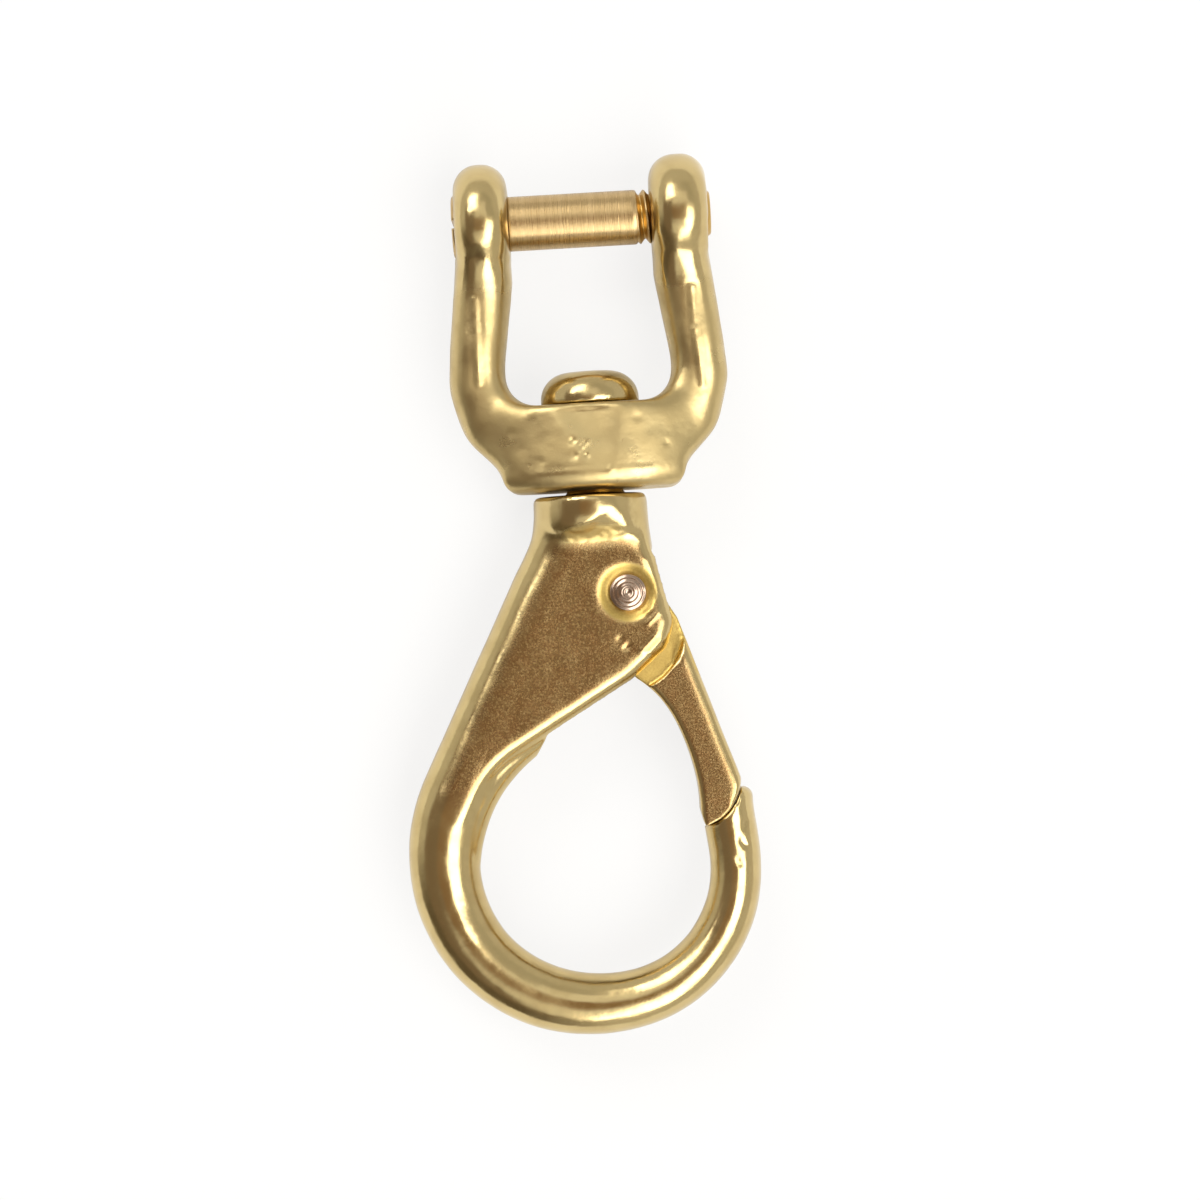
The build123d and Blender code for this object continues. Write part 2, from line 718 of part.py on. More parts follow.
with BuildPart() as gate:
    # Lever, as thick as the body, from the shoulder to the tip.
    with BuildSketch():
        add(gate_face)
        with BuildSketch(gate_plane, mode=Mode.PRIVATE) as above_shoulder:
            with Locations((-shoulder_inset, -shoulder_drop)):
                Circle(shoulder_radius)
            Circle(hub_radius + hub_clearance)
        add(above_shoulder.sketch, mode=Mode.SUBTRACT)
    extrude(amount=lever_depth / 2, both=True)
    outer_rims = gate.faces().filter_by(Plane.XY).edges().filter_by(
        lambda edge: gate_plane.to_local_coords(edge.center()).X > gate_reach - 0.1
    )
    fillet(outer_rims, lever_outer_radius)
    inner_rims = gate.faces().filter_by(Plane.XY).edges().filter_by(GeomType.BSPLINE)
    fillet(inner_rims, lever_inner_radius)
    # Tongue between the cheeks.
    with BuildSketch():
        add(gate_face)
        with BuildSketch(gate_plane, mode=Mode.PRIVATE) as below_tongue:
            with Locations((0, lever_end - tongue_length)):
                Rectangle(-lever_end, -2 * lever_end)
        add(below_tongue.sketch, mode=Mode.SUBTRACT)
    extrude(amount=tongue_half, both=True)
    # Bore for the rivet.
    with BuildSketch():
        with Locations(pivot):
            Circle(rivet_radius + running_fit)
    extrude(amount=tongue_half + 1, both=True, mode=Mode.SUBTRACT)
    # Groove for the spring: round over its coil, open towards the slot's back wall.
    with BuildSketch(gate_plane):
        Circle(groove_radius)
        with BuildLine():
            Polyline(
                (0, groove_radius),
                (-hub_radius - 1, groove_radius - 1),
                (-hub_radius - 1, -moving_leg - 0.4),
                (groove_wall, -moving_leg - 0.4),
                (groove_wall, 0),
                close=True,
            )
        make_face()
    extrude(amount=groove_width / 2, both=True, mode=Mode.SUBTRACT)
gate.part.label = "gate"
export_step(gate.part, "parts/gate.step")


# =============================================================== gate spring
# Wound about its own Z axis from +X, clockwise and upwards, then turned to its place.
fixed_along = wall_along.rotate(Axis.Z, -fixed_leg_splay)
fixed_root = fixed_along.rotate(Axis.Z, -90)                 # direction, from the pivot
coil_turn = fixed_root.get_signed_angle(gate_out, Vector(0, 0, -1)) % 360 + 360 * coil_whole_turns
coil_height = coil_pitch * coil_turn / 360
with BuildPart() as wound_spring:
    with BuildLine() as coil:
        Helix(
            pitch=coil_pitch,
            height=coil_height,
            radius=coil_radius,
            center=(0, 0, -coil_height / 2),
            lefthand=True,
        )
    with BuildSketch(Plane(origin=coil.line @ 0, z_dir=coil.line % 0)):
        RegularPolygon(wire_radius, wire_sides)
    sweep(path=coil.line, is_frenet=True)
    fixed_end, moving_end = wound_spring.faces().filter_by(GeomType.PLANE).sort_by(Axis.Z)
    extrude(fixed_end, amount=fixed_leg)
    extrude(moving_end, amount=moving_leg)

with BuildPart() as gate_spring:
    add(Plane(origin=pivot, x_dir=fixed_root, z_dir=(0, 0, 1)).location * wound_spring.part)
gate_spring.part.label = "gate_spring"
export_step(gate_spring.part, "parts/gate_spring.step")
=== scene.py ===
import math

import bmesh
import bpy
import numpy as np
from mathutils import Matrix, Vector, noise


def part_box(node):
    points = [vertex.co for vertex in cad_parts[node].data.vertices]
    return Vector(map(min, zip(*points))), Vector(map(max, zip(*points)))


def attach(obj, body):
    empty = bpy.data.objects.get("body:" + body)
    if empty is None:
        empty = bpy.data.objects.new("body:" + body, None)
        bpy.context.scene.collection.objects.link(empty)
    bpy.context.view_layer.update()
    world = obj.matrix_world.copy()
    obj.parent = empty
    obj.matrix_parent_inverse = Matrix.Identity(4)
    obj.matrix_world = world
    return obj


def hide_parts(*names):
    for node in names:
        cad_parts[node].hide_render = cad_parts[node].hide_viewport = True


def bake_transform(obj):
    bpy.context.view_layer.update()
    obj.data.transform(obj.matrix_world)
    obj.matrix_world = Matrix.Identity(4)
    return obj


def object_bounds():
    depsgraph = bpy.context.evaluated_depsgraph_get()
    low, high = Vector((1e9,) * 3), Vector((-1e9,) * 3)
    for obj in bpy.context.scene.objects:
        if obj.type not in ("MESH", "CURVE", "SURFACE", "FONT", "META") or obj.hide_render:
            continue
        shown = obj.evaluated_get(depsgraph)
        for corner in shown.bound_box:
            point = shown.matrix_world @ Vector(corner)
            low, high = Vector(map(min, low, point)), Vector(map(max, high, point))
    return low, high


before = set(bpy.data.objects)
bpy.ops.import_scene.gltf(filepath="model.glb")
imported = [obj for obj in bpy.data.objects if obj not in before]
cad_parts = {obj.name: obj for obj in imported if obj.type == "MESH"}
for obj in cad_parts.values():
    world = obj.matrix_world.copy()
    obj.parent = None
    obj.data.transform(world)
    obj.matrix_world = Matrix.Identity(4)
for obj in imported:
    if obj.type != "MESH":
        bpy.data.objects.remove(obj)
cad_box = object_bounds()
MM = 0.001
scene = bpy.context.scene

# ------------------------------------------------------------------ places, in millimetres
PIVOT = np.array((3.87, -54.2))
GATE_LEAN = math.radians(18.4)
GATE_OUT = np.array((math.cos(GATE_LEAN), math.sin(GATE_LEAN)))
GATE_DOWN = np.array((math.sin(GATE_LEAN), -math.cos(GATE_LEAN)))
PANEL_Z = 4.83
CASTING_VOXEL, GATE_VOXEL = 0.32, 0.22
ARM_POWER = 2.3  # 2 would make the arms' section an ellipse, more makes it squarer
BOX_MARGIN = 0.01


def smooth_step(low, high, value):
    """0 below low, 1 above high, and a smooth ramp between; low may be the larger of the two."""
    t = np.clip((value - low) / (high - low), 0.0, 1.0)
    return t * t * (3 - 2 * t)


def within(value, low_off, low_on, high_on, high_off):
    """1 between the two middle bounds, 0 beyond the outer two, and a smooth ramp on each side."""
    return smooth_step(low_off, low_on, value) * smooth_step(high_off, high_on, value)


def ridge(distance, width):
    """A smooth hump, 1 where the distance is zero and nearly 0 at twice the width."""
    return np.exp(-((distance / width) ** 2))


def depth(places):
    """How far points lie from the middle plane, towards either face."""
    return np.abs(places[:, 2])


def push_faces(places, amount):
    """Moves both faces away from the middle plane, in place."""
    places[:, 2] += np.sign(places[:, 2]) * amount


def mesh_arrays(mesh):
    """Vertex positions in millimetres and normals, as arrays."""
    count = len(mesh.vertices)
    places = np.empty(count * 3)
    mesh.vertices.foreach_get("co", places)
    normals = np.empty(count * 3)
    mesh.vertex_normals.foreach_get("vector", normals)
    return places.reshape(-1, 3) / MM, normals.reshape(-1, 3)


def put_places(mesh, places):
    mesh.vertices.foreach_set("co", (places * MM).ravel())
    mesh.update()


def lumps(places, size, seed):
    """Soft noise of about -1 to 1 at each point, with features of the given size in millimetres."""
    shift = Vector((seed * 17.3, seed * 5.1, seed * 9.7))
    return np.array([noise.noise(Vector(p) / size + shift) for p in places])


def segment_distance(points, start, end):
    """Distance of points from a segment, in the plane or in space."""
    start, end = np.array(start, float), np.array(end, float)
    run = end - start
    along = np.clip(((points - start) @ run) / (run @ run), 0, 1)
    return np.linalg.norm(points - start - along[:, None] * run, axis=1)


def near_segment(points, start, end, inner, outer):
    """1 within the inner distance of a segment, 0 beyond the outer."""
    return smooth_step(outer, inner, segment_distance(points, start, end))


def add_attribute(mesh, name, values):
    layer = mesh.attributes.new(name, "FLOAT", "POINT")
    layer.data.foreach_set("value", np.asarray(values, np.float32))


def apply_modifiers(piece):
    """Gives a piece the mesh that its modifiers make."""
    bpy.context.view_layer.update()
    shown = piece.evaluated_get(bpy.context.evaluated_depsgraph_get())
    made = bpy.data.meshes.new_from_object(shown)
    piece.modifiers.clear()
    piece.data = made
    return made


def cast_copy(node, name, voxel, rounds):
    """A smooth copy of a CAD node's mesh, with its sharp edges softened as in a tumbled casting."""
    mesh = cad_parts[node].data.copy()
    mesh.materials.clear()
    piece = bpy.data.objects.new(name, mesh)
    scene.collection.objects.link(piece)
    welded = bmesh.new()
    welded.from_mesh(mesh)
    bmesh.ops.remove_doubles(welded, verts=welded.verts, dist=1e-6)
    welded.to_mesh(mesh)
    welded.free()
    remesh = piece.modifiers.new("remesh", "REMESH")
    remesh.mode = "VOXEL"
    remesh.voxel_size = voxel * MM
    remesh.use_smooth_shade = True
    soften = piece.modifiers.new("soften", "SMOOTH")
    soften.factor = 0.5
    soften.iterations = rounds
    made = apply_modifiers(piece)
    made.name = name
    made.polygons.foreach_set("use_smooth", [True] * len(made.polygons))
    return piece


def relax(mesh, places, weights, rounds):
    """Laplacian smoothing of the points, each by its own weight (0 keeps a point where it is)."""
    edges = np.empty(len(mesh.edges) * 2, np.int32)
    mesh.edges.foreach_get("vertices", edges)
    first, second = edges[::2], edges[1::2]
    near = weights > 0.001
    used = near[first] | near[second]
    first, second = first[used], second[used]
    count = np.bincount(first, minlength=len(places)) + np.bincount(second, minlength=len(places))
    count = np.maximum(count, 1)[:, None]
    step = 0.5 * weights[:, None]
    for _ in range(rounds):
        total = np.empty_like(places)
        for axis in range(3):
            total[:, axis] = np.bincount(first, places[second, axis], len(places))
            total[:, axis] += np.bincount(second, places[first, axis], len(places))
        places = places + step * (total / count - places)
    return places


def surface_of_revolution(profile, turns, axis):
    """Closed mesh through (place, radius) rings round X or Z; a radius of zero makes a single point."""
    made = bmesh.new()
    rings = []
    for place, radius in profile:
        ring = []
        is_ring = np.ndim(radius) or radius > 1e-6
        for step in range(turns if is_ring else 1):
            angle = 2 * math.pi * step / turns
            r = radius[step] if np.ndim(radius) else radius
            point = (place, r * math.cos(angle), r * math.sin(angle))
            if axis == "Z":
                point = (point[1], point[2], point[0])
            ring.append(made.verts.new(Vector(point) * MM))
        rings.append(ring)
    for low, high in zip(rings, rings[1:]):
        for step in range(turns):
            after = (step + 1) % turns
            corners = [low[step % len(low)], low[after % len(low)]]
            corners += [high[after % len(high)], high[step % len(high)]]
            corners = [c for i, c in enumerate(corners) if c not in corners[:i]]
            if len(corners) > 2:
                made.faces.new(corners)
    bmesh.ops.recalc_face_normals(made, faces=made.faces)
    return made


def new_piece(name, made):
    mesh = bpy.data.meshes.new(name)
    made.to_mesh(mesh)
    made.free()
    mesh.polygons.foreach_set("use_smooth", [True] * len(mesh.polygons))
    piece = bpy.data.objects.new(name, mesh)
    scene.collection.objects.link(piece)
    return piece


def corner_steps(corners, fine):
    """Points along a polyline of (place, radius) corners, about the given distance apart."""
    points = []
    for (x0, r0), (x1, r1) in zip(corners, corners[1:]):
        count = max(1, int(math.hypot(x1 - x0, r1 - r0) / fine))
        for i in range(count):
            points.append((x0 + (x1 - x0) * i / count, r0 + (r1 - r0) * i / count))
    return points + [corners[-1]]


# ------------------------------------------------------------------------- materials
class Nodes:
    """Short way to write a node tree."""

    def __init__(self, tree):
        self.tree = tree

    def add(self, kind, inputs=None, **settings):
        node = self.tree.nodes.new(kind)
        for key, value in settings.items():
            setattr(node, key, value)
        for key, value in (inputs or {}).items():
            if isinstance(value, bpy.types.NodeSocket):
                self.tree.links.new(value, node.inputs[key])
            else:
                node.inputs[key].default_value = value
        return node

    def noise(self, place, scale, detail, roughness):
        inputs = {"Vector": place, "Scale": scale, "Detail": detail, "Roughness": roughness}
        found = self.add("ShaderNodeTexNoise", inputs)
        return found.outputs["Fac"]

    def ramp(self, value, low, high, out_low=0.0, out_high=1.0):
        """A smooth ramp from one output at low to the other at high."""
        inputs = {"Value": value, "From Min": low, "From Max": high, "To Min": out_low, "To Max": out_high}
        found = self.add("ShaderNodeMapRange", inputs, interpolation_type="SMOOTHSTEP")
        return found.outputs["Result"]

    def math(self, operation, first, second):
        found = self.add("ShaderNodeMath", {0: first, 1: second}, operation=operation)
        return found.outputs[0]

    def mix(self, share, first, second):
        found = self.add("ShaderNodeMix", {"Factor": share, 6: first, 7: second}, data_type="RGBA")
        return found.outputs[2]

    def attribute(self, name):
        return self.add("ShaderNodeAttribute", attribute_name=name).outputs["Fac"]

    def bump(self, height, strength, distance, normal=None):
        inputs = {"Height": height, "Strength": strength, "Distance": distance}
        if normal is not None:
            inputs["Normal"] = normal
        return self.add("ShaderNodeBump", inputs).outputs["Normal"]


def new_material(name):
    material = bpy.data.materials.new(name)
    material.use_nodes = True
    tree = material.node_tree
    tree.nodes.clear()
    nodes = Nodes(tree)
    shader = nodes.add("ShaderNodeBsdfPrincipled")
    shader.inputs["Metallic"].default_value = 1.0
    out = nodes.add("ShaderNodeOutputMaterial")
    tree.links.new(shader.outputs["BSDF"], out.inputs["Surface"])
    return material, nodes, shader


def connect(nodes, shader, **sockets):
    for name, socket in sockets.items():
        nodes.tree.links.new(socket, shader.inputs[name.replace("_", " ")])


def cast_brass(name):
    """Tumbled cast brass: bright rims; sandy flats painted dark brown, a painted reflection of the dark
    overhead; yellow rough hollows, their unpolished tone with painted bounce light in it.
    """
    material, nodes, shader = new_material(name)
    place = nodes.add("ShaderNodeTexCoord").outputs["Object"]
    flat = nodes.attribute("flat")
    hollow = nodes.attribute("hollow")
    matte = nodes.attribute("matte")
    cloud = nodes.noise(place, 260.0, 4.0, 0.55)
    patches = nodes.noise(place, 700.0, 3.0, 0.6)
    grain = nodes.noise(place, 3400.0, 3.0, 0.7)
    specks = nodes.noise(place, 6500.0, 2.0, 0.7)
    rim_light, rim_deep = (0.67, 0.53, 0.26, 1), (0.61, 0.475, 0.225, 1)
    # The sand colours are dark brown: sandy grain with a painted dark reflection of the overhead in it,
    # meant for faces that look straight up.
    sand_dark_painted_reflection, sand_light_painted_reflection = (0.34, 0.215, 0.09, 1), (0.45, 0.30, 0.13, 1)
    sand_red_painted_reflection, bright_speck = (0.38, 0.215, 0.085, 1), (0.66, 0.51, 0.28, 1)
    worn_brass = (0.50, 0.385, 0.18, 1)
    # The hollows' yellow is their unpolished surface's tone with painted bounce light in it.
    yellow_light_painted_bounce, yellow_deep_painted_bounce = (0.68, 0.50, 0.16, 1), (0.60, 0.42, 0.12, 1)
    warm = nodes.mix(nodes.ramp(cloud, 0.38, 0.66), rim_light, rim_deep)
    # Grain, red patches and lighter specks over the painted dark reflection.
    fine = nodes.mix(nodes.ramp(grain, 0.35, 0.65), sand_dark_painted_reflection, sand_light_painted_reflection)
    fine = nodes.mix(nodes.ramp(patches, 0.35, 0.7), fine, sand_red_painted_reflection)
    fine = nodes.mix(nodes.ramp(specks, 0.60, 0.70, 0.0, 0.4), fine, bright_speck)
    # Faces that look straight up take most of the painted dark reflection; all other faces take a tenth of
    # it.
    body = nodes.mix(nodes.ramp(flat, 0.0, 1.0, 0.10, 0.85), warm, fine)
    body = nodes.mix(nodes.math("MULTIPLY", matte, 0.5), body, worn_brass)
    yellow = nodes.mix(nodes.ramp(grain, 0.35, 0.65), yellow_light_painted_bounce, yellow_deep_painted_bounce)
    # Hollows take the yellow, with its painted bounce light.
    colour = nodes.mix(hollow, body, yellow)
    rough_rim = nodes.ramp(cloud, 0.3, 0.7, 0.13, 0.21)
    rough_flat = nodes.ramp(grain, 0.3, 0.7, 0.13, 0.24)
    rough_mix = {"Factor": flat, 2: rough_rim, 3: rough_flat}
    roughness = nodes.add("ShaderNodeMix", rough_mix, data_type="FLOAT").outputs[0]
    roughness = nodes.math("ADD", roughness, nodes.math("MULTIPLY", hollow, 0.2))
    worn = nodes.math("MULTIPLY", matte, nodes.ramp(cloud, 0.35, 0.65, 0.19, 0.26))
    roughness = nodes.math("ADD", roughness, worn)
    sandy = nodes.math("MAXIMUM", flat, nodes.math("MULTIPLY", matte, 0.2))
    coarse = nodes.ramp(sandy, 0.0, 1.0, 0.3, 1.0)
    speck_share = nodes.ramp(flat, 0.1, 0.6, 0.1, 0.5)
    sand = nodes.math("ADD", grain, nodes.math("MULTIPLY", specks, speck_share))
    sand = nodes.math("MULTIPLY", sand, coarse)
    normal = nodes.bump(sand, 0.5, 0.00003)
    normal = nodes.bump(cloud, nodes.math("MULTIPLY", matte, 0.25), 0.0002, normal)
    normal = nodes.bump(cloud, nodes.ramp(flat, 0.0, 1.0, 0.35, 0.05), 0.00016, normal)
    connect(nodes, shader, Base_Color=colour, Roughness=roughness, Normal=normal)
    return material


def turned_brass(name):
    """Turned bar: fine grooves round X and a few deeper tool marks."""
    material, nodes, shader = new_material(name)
    place = nodes.add("ShaderNodeTexCoord").outputs["Object"]
    split = nodes.add("ShaderNodeSeparateXYZ", {0: place})
    thread = nodes.attribute("thread")
    along = nodes.add("ShaderNodeCombineXYZ", {0: split.outputs[0]}).outputs[0]
    rings = nodes.noise(along, 5200.0, 3.0, 0.6)
    bands = nodes.noise(along, 900.0, 2.0, 0.5)
    marks = nodes.ramp(nodes.noise(along, 1500.0, 1.0, 0.4), 0.66, 0.72)
    cloud = nodes.noise(place, 300.0, 3.0, 0.5)
    band_dark, band_light = (0.50, 0.35, 0.165, 1), (0.57, 0.405, 0.20, 1)
    mark_dark, thread_yellow = (0.30, 0.19, 0.08, 1), (0.58, 0.38, 0.13, 1)
    tone = nodes.mix(nodes.ramp(bands, 0.35, 0.65), band_dark, band_light)
    tone = nodes.mix(nodes.math("MULTIPLY", marks, 0.6), tone, mark_dark)
    colour = nodes.mix(thread, tone, thread_yellow)
    roughness = nodes.ramp(rings, 0.3, 0.7, 0.20, 0.34)
    roughness = nodes.math("ADD", roughness, nodes.math("MULTIPLY", cloud, 0.06))
    grooves = nodes.math("ADD", rings, nodes.math("MULTIPLY", marks, -1.5))
    normal = nodes.bump(grooves, 0.5, 0.00003)
    connect(nodes, shader, Base_Color=colour, Roughness=roughness, Normal=normal)
    return material


def rivet_bronze(name):
    """Turned rivet end, pinker and greyer than the casting."""
    material, nodes, shader = new_material(name)
    place = nodes.add("ShaderNodeTexCoord").outputs["Object"]
    cloud = nodes.noise(place, 900.0, 3.0, 0.6)
    light, dark = (0.50, 0.37, 0.28, 1), (0.40, 0.30, 0.23, 1)
    colour = nodes.mix(nodes.ramp(cloud, 0.35, 0.65), light, dark)
    roughness = nodes.ramp(cloud, 0.3, 0.7, 0.16, 0.26)
    normal = nodes.bump(nodes.math("MULTIPLY", cloud, 0.4), 0.4, 0.00004)
    connect(nodes, shader, Base_Color=colour, Roughness=roughness, Normal=normal)
    return material


def spring_steel(name):
    """Drawn spring wire, grey and a little uneven."""
    material, nodes, shader = new_material(name)
    place = nodes.add("ShaderNodeTexCoord").outputs["Object"]
    drawn = nodes.noise(place, 1800.0, 3.0, 0.6)
    dark, light = (0.42, 0.40, 0.38, 1), (0.54, 0.53, 0.51, 1)
    colour = nodes.mix(nodes.ramp(drawn, 0.3, 0.7), dark, light)
    roughness = nodes.ramp(drawn, 0.3, 0.7, 0.28, 0.42)
    normal = nodes.bump(drawn, 0.3, 0.00002)
    connect(nodes, shader, Base_Color=colour, Roughness=roughness, Normal=normal)
    return material


brass = cast_brass("cast_brass")
turned = turned_brass("turned_brass")
bronze = rivet_bronze("rivet_bronze")
steel = spring_steel("spring_steel")

# The CAD solids carry the materials of the pieces that stand for them.
for node, material in (
    ("shackle", brass),
    ("hook_body", brass),
    ("gate", brass),
    ("shackle_pin", turned),
    ("gate_rivet", bronze),
    ("gate_spring", steel),
):
    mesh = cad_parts[node].data
    mesh.materials.clear()
    mesh.materials.append(material)


def finish_piece(piece, node, body, material):
    piece.data.materials.clear()
    piece.data.materials.append(material)
    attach(piece, body)
    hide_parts(node)


# ------------------------------------------------------------------------- hook body
hook = cast_copy("hook_body", "hook_casting", CASTING_VOXEL, 5)
p, n = mesh_arrays(hook.data)
# The cheeks' free edge rolls over gently before it turns down.
ROLL_WIDTH, ROLL_DROP = 2.9, 0.22
rim = [(-19.9, -85.0), (-18.0, -81.5), (-15.0, -78.3), (-11.0, -75.6), (4.0, -66.7)]
rim += [(8.5, -63.2), (10.0, -60.8), (10.35, -58.5), (7.8, -48.0)]
to_rim = np.min([segment_distance(p[:, :2], a, b) for a, b in zip(rim, rim[1:])], axis=0)
roll = np.clip(1 - to_rim / ROLL_WIDTH, 0, 1) ** 2 * smooth_step(2.0, 3.5, depth(p))
push_faces(p, -ROLL_DROP * roll * within(p[:, 1], -80.0, -74.0, -50.0, -47.0))
# The spine's crest lies level with the panel.
crest = np.maximum(depth(p) - PANEL_Z - 0.02, 0)
push_faces(p, -0.85 * crest * within(p[:, 1], -90.0, -80.0, -49.0, -47.0))
# The neck's outline runs straight into the cheek.
outline = (-51, -50, -49, -48, -47, -46, -44), (0.0, 0.06, 0.1, -0.18, -0.15, -0.08, 0.0)
p[:, 0] += np.interp(p[:, 1], *outline) * smooth_step(5.0, 7.4, p[:, 0])
# The neck's front drops to the panel from an arched lip.
face = smooth_step(4.6, 5.2, depth(p))
arch = 1.6 * ridge(p[:, 0] - 2.0, 2.1) - 1.5 - 0.5 * smooth_step(3.0, 6.0, p[:, 0])
p[:, 1] += face * arch * np.interp(p[:, 1], (-46.4, -42.3, -40.3), (0.0, 1.0, 0.0))
front = smooth_step(4.3, 5.0, depth(p)) * within(p[:, 1], -48.0, -46.8, -42.5, -41.0)
corner = near_segment(p, (8.0, -45.5, -4), (8.0, -45.5, 4), 1.5, 4.0)
left = near_segment(p, (-9.0, -48.0, -4), (-9.0, -48.0, 4), 1.5, 4.5)
p = relax(hook.data, p, np.maximum(corner, left), 60)
p = relax(hook.data, p, front, 14)
# The spine's outer edge is rounded on both faces.
bevels = [near_segment(p, (-7.0, -49.0, z), (-17.5, -73.5, z), 1.4, 3.2) for z in (4.4, -4.4)]
p = relax(hook.data, p, np.maximum(*bevels), 45)
# The step from the neck to the panel is smoothed.
foot = within(p[:, 1], -49.5, -48.0, -45.6, -44.8) * smooth_step(3.8, 4.5, depth(p))
p = relax(hook.data, p, foot, 40)
# The dish round the rivet has a soft edge.
DISH_RADIUS = 4.1
from_pivot = np.linalg.norm(p[:, :2] - PIVOT, axis=1)
dish_edge = smooth_step(1.3, 0.7, np.abs(from_pivot - DISH_RADIUS))
p = relax(hook.data, p, dish_edge * smooth_step(3.0, 3.5, depth(p)), 12)
# The lip stands up, with a groove below it and a rough band under the groove.
lip = ridge(p[:, 1] + 42.3 - arch, 0.55) * within(p[:, 0], -1.6, -0.6, 4.6, 5.4) * face
band = within(p[:, 1], -47.0, -46.0, -44.9, -43.8)
band *= within(p[:, 0], -6.4, -3.4, 2.4, 4.8) * smooth_step(3.0, 4.0, depth(p))
groove = ridge(p[:, 1] + 44.25, 0.4) * within(p[:, 0], -5.0, -4.0, 3.0, 4.0) * face
push_faces(p, 0.20 * lip - 0.05 * groove)
neck_front = smooth_step(4.0, 4.8, depth(p)) * within(p[:, 1], -48.0, -46.8, -41.2, -40.3)
p = relax(hook.data, p, neck_front, 16)
push_faces(p, band * 0.11 * lumps(p, 0.8, 7))
# Flash and small marks left by the mould, as (start, end, half width, height).
marks = [
    ((8.1, -57.2), (6.4, -58.9), 0.28, 0.14),
    ((6.3, -57.3), (7.3, -56.7), 0.25, 0.10),
    ((5.2, -62.7), (7.6, -60.4), 0.22, 0.14),
    ((6.6, -62.9), (8.4, -61.2), 0.22, 0.12),
    ((5.2, -62.7), (6.6, -62.9), 0.2, 0.10),
    ((3.1, -62.2), (3.5, -61.8), 0.35, -0.20),
    ((18.1, -90.6), (18.6, -91.4), 0.4, -0.22),
    ((17.4, -93.4), (17.8, -94.1), 0.35, -0.16),
    ((2.2, -60.9), (2.5, -60.7), 0.3, -0.12),
    ((18.9, -88.1), (18.6, -88.9), 0.3, -0.15),
]
for start, end, half_width, rise in marks:
    shape = ridge(segment_distance(p[:, :2], start, end), half_width) * smooth_step(2.0, 3.0, p[:, 2])
    p = p + n * (rise * shape)[:, None]
p = p + n * (0.05 * lumps(p, 7.0, 1) + 0.025 * lumps(p, 3.0, 2))[:, None]
put_places(hook.data, p)
p, n = mesh_arrays(hook.data)
from_pivot = np.linalg.norm(p[:, :2] - PIVOT, axis=1)
# The panel mask marks faces that look straight up; the material paints them with a dark reflection of the
# overhead, over sandy grain.
panel = smooth_step(0.90, 0.985, np.abs(n[:, 2])) * smooth_step(PANEL_Z - 0.45, PANEL_Z - 0.2, depth(p))
panel *= within(p[:, 1], -86.0, -80.0, -47.0, -46.0)
# The dish, and part of the neck's rough band, take the hollows' yellow, partly painted bounce light.
dish = smooth_step(4.45, 3.9, from_pivot) * smooth_step(3.2, 3.7, depth(p))
add_attribute(hook.data, "flat", panel)
add_attribute(hook.data, "hollow", np.maximum(dish, 0.45 * band))
add_attribute(hook.data, "matte", np.maximum(0.5 * band, 0.1 + 0.12 * panel))
finish_piece(hook, "hook_body", "hook", brass)

# ------------------------------------------------------------------------- shackle
yoke = cast_copy("shackle", "shackle_casting", CASTING_VOXEL, 6)
p, _ = mesh_arrays(yoke.data)
side = np.abs(p[:, 0])
# The arms are rounded bars that lean outwards, and the round ears run down into them.
lean_in = (8.5, 18.5, 20.5, 22.5), (0.0, 1.46, 1.68, 1.75)
lean_out = (5.5, 18.5, 20.5, 22.5, 25.0), (0.0, 1.56, 1.76, 1.92, 2.05)
inner = 10.25 + np.interp(-p[:, 1], *lean_in)
outer = 18.3 + np.interp(-p[:, 1], *lean_out)
middle, half_width = (outer + inner) / 2, (outer - inner) / 2
ear_line = (-24.0, -20.0, -14.0, -12.0, -10.0, -9.0, -8.0, -7.0, -6.0, -5.0)
ear_depth = (4.75, 4.9, 4.95, 5.02, 5.2, 5.38, 5.65, 6.05, 6.6, 7.24)
half_depth = np.interp(p[:, 1], ear_line, ear_depth)
turn = np.arctan2(p[:, 2] / half_depth, (side - middle) / half_width)
fullness = np.abs(np.cos(turn)) ** ARM_POWER + np.abs(np.sin(turn)) ** ARM_POWER
fullness = fullness ** (-1 / ARM_POWER)
bar_x = np.sign(p[:, 0]) * (middle + half_width * np.cos(turn) * fullness)
bar_z = half_depth * np.sin(turn) * fullness
bar = np.column_stack([bar_x, p[:, 1], bar_z])
on_arm = within(p[:, 1], -25.0, -21.0, -6.6, -4.9) * smooth_step(9.0, 10.0, side)
p = p + (bar - p) * on_arm[:, None]
# The boss's front leans back towards the saddle and stays full down to its lower edge.
front_line = (-39.2, -38.6, -38.0, -37.0, -36.0, -34.0, -32.0, -30.0, -28.0, -26.0, -24.0)
front_share = (1.0, 1.02, 1.007, 1.0, 0.986, 0.988, 0.990, 0.992, 0.992, 0.996, 1.0)
deeper = np.interp(p[:, 1], front_line, front_share)
on_boss = smooth_step(14.5, 12.5, side) * smooth_step(5.0, 7.5, depth(p))
p[:, 2] *= 1 + (deeper - 1) * on_boss
# Arms, ears and boss run into each other without an edge.
melt_arm = within(p[:, 1], -19.0, -12.0, -6.5, -4.9) * smooth_step(1.0, 3.0, depth(p))
melt_ear = within(p[:, 1], -12.0, -8.0, -5.0, -2.5) * smooth_step(5.0, 6.0, depth(p))
melted = relax(yoke.data, p, np.maximum(melt_arm, melt_ear), 60)
p[:, 1:] = melted[:, 1:]
melt_boss = within(p[:, 1], -38.6, -34.5, -21.0, -17.5) * smooth_step(8.0, 11.0, side)
p = relax(yoke.data, p, melt_boss, 70)
put_places(yoke.data, p)
p, n = mesh_arrays(yoke.data)
